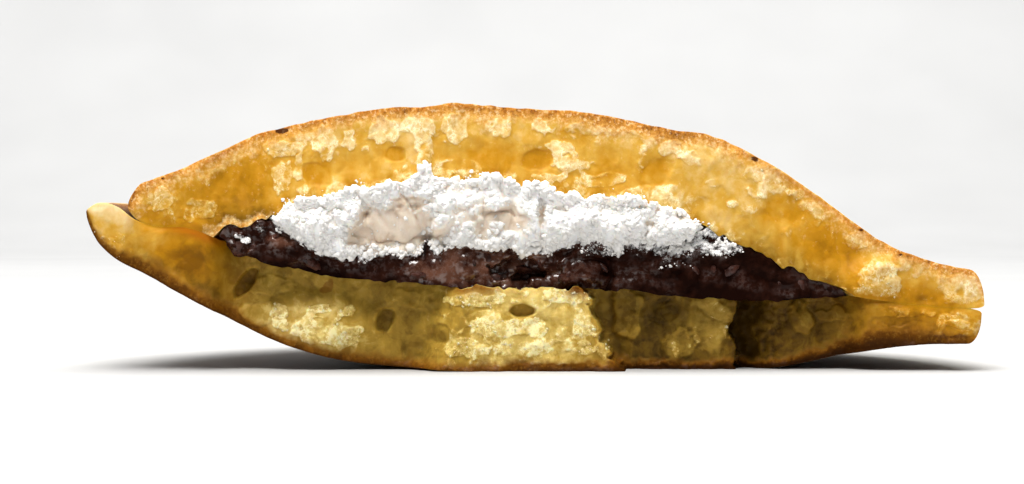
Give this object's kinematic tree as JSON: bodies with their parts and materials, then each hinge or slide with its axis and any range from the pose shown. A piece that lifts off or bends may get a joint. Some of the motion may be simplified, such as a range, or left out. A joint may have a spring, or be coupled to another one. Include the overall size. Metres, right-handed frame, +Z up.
{
  "type": "red bean pancake half",
  "caption": "Half of a filled sandwich of round griddle cakes, torn across to show crumb, dark bean paste and starch-dusted white rice cake.",
  "frame": {"origin": "centre of the bounding box's bottom, on the surface that the half lies on", "axes": "+X right along the tear as the torn face is looked at, +Y back into the half, +Z up; the torn face looks towards -Y"},
  "size_m": [0.1, 0.0532, 0.0298],
  "materials": {
    "lower_cake": "moist yellow griddle cake crumb with a brown crust",
    "upper_cake": "moist golden griddle cake crumb with a brown crust",
    "bean_paste": "moist dark red bean paste with crushed beans",
    "white_filling": "soft white rice cake under a crumbly dusting of starch"
  },
  "bodies": {
    "root": {"pancake_bottom": "lower_cake", "bean_paste": "bean_paste", "white_filling": "white_filling", "pancake_top": "upper_cake"}
  },
  "joints": []
}
